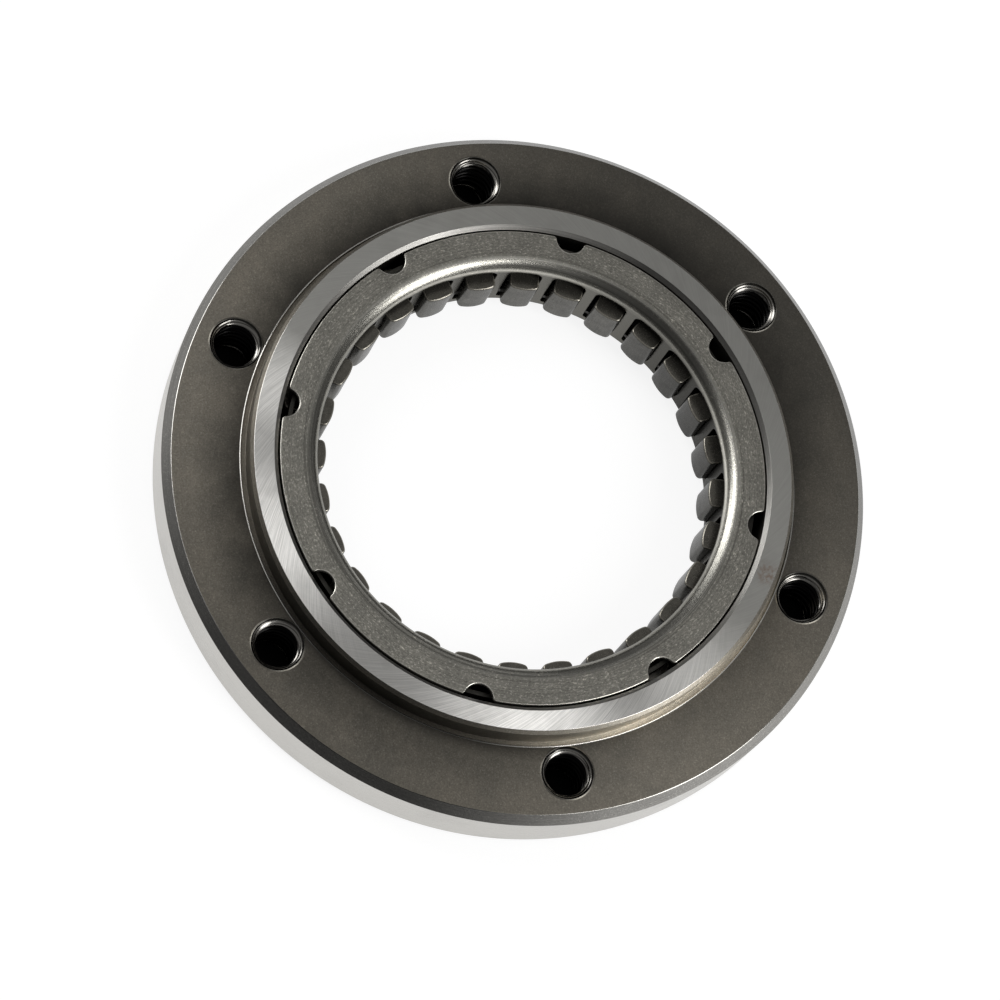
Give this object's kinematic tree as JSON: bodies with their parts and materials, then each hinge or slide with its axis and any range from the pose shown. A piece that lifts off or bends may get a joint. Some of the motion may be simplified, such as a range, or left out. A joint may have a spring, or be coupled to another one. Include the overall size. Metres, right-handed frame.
{
  "type": "starter clutch",
  "caption": "Flanged outer race with tapped holes and a raised hub, holding caged rocking sprags that lock a shaft one way and let it run free the other",
  "frame": {"origin": "on the clutch axis, in the plane of the flange's back face", "axes": "+Z runs along the clutch axis from the flange's back face to the raised hub; +X passes through one tapped hole"},
  "size_m": [0.114, 0.114, 0.0161],
  "materials": {
    "race_steel": "dark oiled hardened steel, with ground bright hub face and outside diameter",
    "cage_steel": "grey stamped steel sheet with rolled edges",
    "spring_steel": "thin bright spring steel strip",
    "sprag_steel": "tumbled hardened steel"
  },
  "bodies": {
    "race": {"outer_race": "race_steel"},
    "cage_set": {"inner_cage": "cage_steel", "ribbon_spring": "spring_steel"},
    "outer_cage": {"outer_cage": "cage_steel"},
    "sprag_01": {"sprag_01": "sprag_steel"},
    "sprag_02": {"sprag_02": "sprag_steel"},
    "sprag_03": {"sprag_03": "sprag_steel"},
    "sprag_04": {"sprag_04": "sprag_steel"},
    "sprag_05": {"sprag_05": "sprag_steel"},
    "sprag_06": {"sprag_06": "sprag_steel"},
    "sprag_07": {"sprag_07": "sprag_steel"},
    "sprag_08": {"sprag_08": "sprag_steel"},
    "sprag_09": {"sprag_09": "sprag_steel"},
    "sprag_10": {"sprag_10": "sprag_steel"},
    "sprag_11": {"sprag_11": "sprag_steel"},
    "sprag_12": {"sprag_12": "sprag_steel"},
    "sprag_13": {"sprag_13": "sprag_steel"},
    "sprag_14": {"sprag_14": "sprag_steel"},
    "sprag_15": {"sprag_15": "sprag_steel"},
    "sprag_16": {"sprag_16": "sprag_steel"},
    "sprag_17": {"sprag_17": "sprag_steel"},
    "sprag_18": {"sprag_18": "sprag_steel"},
    "sprag_19": {"sprag_19": "sprag_steel"},
    "sprag_20": {"sprag_20": "sprag_steel"},
    "sprag_21": {"sprag_21": "sprag_steel"},
    "sprag_22": {"sprag_22": "sprag_steel"},
    "sprag_23": {"sprag_23": "sprag_steel"},
    "sprag_24": {"sprag_24": "sprag_steel"},
    "sprag_25": {"sprag_25": "sprag_steel"},
    "sprag_26": {"sprag_26": "sprag_steel"},
    "sprag_27": {"sprag_27": "sprag_steel"},
    "sprag_28": {"sprag_28": "sprag_steel"}
  },
  "joints": [
    {"name": "cage_spin", "type": "hinge", "parent": "race", "child": "cage_set", "pos_m": [0, 0, 0.009], "axis": [0, 0, 1], "continuous": true},
    {"name": "sprag_01_rock", "type": "hinge", "parent": "cage_set", "child": "sprag_01", "pos_m": [0.03522, 0.00041, 0.007], "axis": [0, 0, -1], "range_deg": [0, 7], "stiffness_Nm_per_rad": 0.02},
    {"name": "outer_cage_phase", "type": "hinge", "parent": "cage_set", "child": "outer_cage", "pos_m": [0, 0, 0.009], "axis": [0, 0, -1], "range_deg": [0, 0.51]},
    {"name": "sprag_02_rock", "type": "hinge", "parent": "cage_set", "child": "sprag_02", "pos_m": [0.03424, 0.00823, 0.007], "axis": [0, 0, -1], "range_deg": [0, 7]},
    {"name": "sprag_03_rock", "type": "hinge", "parent": "cage_set", "child": "sprag_03", "pos_m": [0.03155, 0.01565, 0.007], "axis": [0, 0, -1], "range_deg": [0, 7]},
    {"name": "sprag_04_rock", "type": "hinge", "parent": "cage_set", "child": "sprag_04", "pos_m": [0.02728, 0.02228, 0.007], "axis": [0, 0, -1], "range_deg": [0, 7]},
    {"name": "sprag_05_rock", "type": "hinge", "parent": "cage_set", "child": "sprag_05", "pos_m": [0.02164, 0.02779, 0.007], "axis": [0, 0, -1], "range_deg": [0, 7]},
    {"name": "sprag_06_rock", "type": "hinge", "parent": "cage_set", "child": "sprag_06", "pos_m": [0.01491, 0.03191, 0.007], "axis": [0, 0, -1], "range_deg": [0, 7]},
    {"name": "sprag_07_rock", "type": "hinge", "parent": "cage_set", "child": "sprag_07", "pos_m": [0.00744, 0.03442, 0.007], "axis": [0, 0, -1], "range_deg": [0, 7]},
    {"name": "sprag_08_rock", "type": "hinge", "parent": "cage_set", "child": "sprag_08", "pos_m": [-0.00041, 0.03522, 0.007], "axis": [0, 0, -1], "range_deg": [0, 7]},
    {"name": "sprag_09_rock", "type": "hinge", "parent": "cage_set", "child": "sprag_09", "pos_m": [-0.00823, 0.03424, 0.007], "axis": [0, 0, -1], "range_deg": [0, 7]},
    {"name": "sprag_10_rock", "type": "hinge", "parent": "cage_set", "child": "sprag_10", "pos_m": [-0.01565, 0.03155, 0.007], "axis": [0, 0, -1], "range_deg": [0, 7]},
    {"name": "sprag_11_rock", "type": "hinge", "parent": "cage_set", "child": "sprag_11", "pos_m": [-0.02228, 0.02728, 0.007], "axis": [0, 0, -1], "range_deg": [0, 7]},
    {"name": "sprag_12_rock", "type": "hinge", "parent": "cage_set", "child": "sprag_12", "pos_m": [-0.02779, 0.02164, 0.007], "axis": [0, 0, -1], "range_deg": [0, 7]},
    {"name": "sprag_13_rock", "type": "hinge", "parent": "cage_set", "child": "sprag_13", "pos_m": [-0.03191, 0.01491, 0.007], "axis": [0, 0, -1], "range_deg": [0, 7]},
    {"name": "sprag_14_rock", "type": "hinge", "parent": "cage_set", "child": "sprag_14", "pos_m": [-0.03442, 0.00744, 0.007], "axis": [0, 0, -1], "range_deg": [0, 7]},
    {"name": "sprag_15_rock", "type": "hinge", "parent": "cage_set", "child": "sprag_15", "pos_m": [-0.03522, -0.00041, 0.007], "axis": [0, 0, -1], "range_deg": [0, 7]},
    {"name": "sprag_16_rock", "type": "hinge", "parent": "cage_set", "child": "sprag_16", "pos_m": [-0.03424, -0.00823, 0.007], "axis": [0, 0, -1], "range_deg": [0, 7]},
    {"name": "sprag_17_rock", "type": "hinge", "parent": "cage_set", "child": "sprag_17", "pos_m": [-0.03155, -0.01565, 0.007], "axis": [0, 0, -1], "range_deg": [0, 7]},
    {"name": "sprag_18_rock", "type": "hinge", "parent": "cage_set", "child": "sprag_18", "pos_m": [-0.02728, -0.02228, 0.007], "axis": [0, 0, -1], "range_deg": [0, 7]},
    {"name": "sprag_19_rock", "type": "hinge", "parent": "cage_set", "child": "sprag_19", "pos_m": [-0.02164, -0.02779, 0.007], "axis": [0, 0, -1], "range_deg": [0, 7]},
    {"name": "sprag_20_rock", "type": "hinge", "parent": "cage_set", "child": "sprag_20", "pos_m": [-0.01491, -0.03191, 0.007], "axis": [0, 0, -1], "range_deg": [0, 7]},
    {"name": "sprag_21_rock", "type": "hinge", "parent": "cage_set", "child": "sprag_21", "pos_m": [-0.00744, -0.03442, 0.007], "axis": [0, 0, -1], "range_deg": [0, 7]},
    {"name": "sprag_22_rock", "type": "hinge", "parent": "cage_set", "child": "sprag_22", "pos_m": [0.00041, -0.03522, 0.007], "axis": [0, 0, -1], "range_deg": [0, 7]},
    {"name": "sprag_23_rock", "type": "hinge", "parent": "cage_set", "child": "sprag_23", "pos_m": [0.00823, -0.03424, 0.007], "axis": [0, 0, -1], "range_deg": [0, 7]},
    {"name": "sprag_24_rock", "type": "hinge", "parent": "cage_set", "child": "sprag_24", "pos_m": [0.01565, -0.03155, 0.007], "axis": [0, 0, -1], "range_deg": [0, 7]},
    {"name": "sprag_25_rock", "type": "hinge", "parent": "cage_set", "child": "sprag_25", "pos_m": [0.02228, -0.02728, 0.007], "axis": [0, 0, -1], "range_deg": [0, 7]},
    {"name": "sprag_26_rock", "type": "hinge", "parent": "cage_set", "child": "sprag_26", "pos_m": [0.02779, -0.02164, 0.007], "axis": [0, 0, -1], "range_deg": [0, 7]},
    {"name": "sprag_27_rock", "type": "hinge", "parent": "cage_set", "child": "sprag_27", "pos_m": [0.03191, -0.01491, 0.007], "axis": [0, 0, -1], "range_deg": [0, 7]},
    {"name": "sprag_28_rock", "type": "hinge", "parent": "cage_set", "child": "sprag_28", "pos_m": [0.03442, -0.00744, 0.007], "axis": [0, 0, -1], "range_deg": [0, 7]}
  ],
  "couplings": [
    {"joint": "outer_cage_phase", "follows": "sprag_01_rock", "ratio": 0.072},
    {"joint": "sprag_02_rock", "follows": "sprag_01_rock", "ratio": 1},
    {"joint": "sprag_03_rock", "follows": "sprag_01_rock", "ratio": 1},
    {"joint": "sprag_04_rock", "follows": "sprag_01_rock", "ratio": 1},
    {"joint": "sprag_05_rock", "follows": "sprag_01_rock", "ratio": 1},
    {"joint": "sprag_06_rock", "follows": "sprag_01_rock", "ratio": 1},
    {"joint": "sprag_07_rock", "follows": "sprag_01_rock", "ratio": 1},
    {"joint": "sprag_08_rock", "follows": "sprag_01_rock", "ratio": 1},
    {"joint": "sprag_09_rock", "follows": "sprag_01_rock", "ratio": 1},
    {"joint": "sprag_10_rock", "follows": "sprag_01_rock", "ratio": 1},
    {"joint": "sprag_11_rock", "follows": "sprag_01_rock", "ratio": 1},
    {"joint": "sprag_12_rock", "follows": "sprag_01_rock", "ratio": 1},
    {"joint": "sprag_13_rock", "follows": "sprag_01_rock", "ratio": 1},
    {"joint": "sprag_14_rock", "follows": "sprag_01_rock", "ratio": 1},
    {"joint": "sprag_15_rock", "follows": "sprag_01_rock", "ratio": 1},
    {"joint": "sprag_16_rock", "follows": "sprag_01_rock", "ratio": 1},
    {"joint": "sprag_17_rock", "follows": "sprag_01_rock", "ratio": 1},
    {"joint": "sprag_18_rock", "follows": "sprag_01_rock", "ratio": 1},
    {"joint": "sprag_19_rock", "follows": "sprag_01_rock", "ratio": 1},
    {"joint": "sprag_20_rock", "follows": "sprag_01_rock", "ratio": 1},
    {"joint": "sprag_21_rock", "follows": "sprag_01_rock", "ratio": 1},
    {"joint": "sprag_22_rock", "follows": "sprag_01_rock", "ratio": 1},
    {"joint": "sprag_23_rock", "follows": "sprag_01_rock", "ratio": 1},
    {"joint": "sprag_24_rock", "follows": "sprag_01_rock", "ratio": 1},
    {"joint": "sprag_25_rock", "follows": "sprag_01_rock", "ratio": 1},
    {"joint": "sprag_26_rock", "follows": "sprag_01_rock", "ratio": 1},
    {"joint": "sprag_27_rock", "follows": "sprag_01_rock", "ratio": 1},
    {"joint": "sprag_28_rock", "follows": "sprag_01_rock", "ratio": 1}
  ]
}
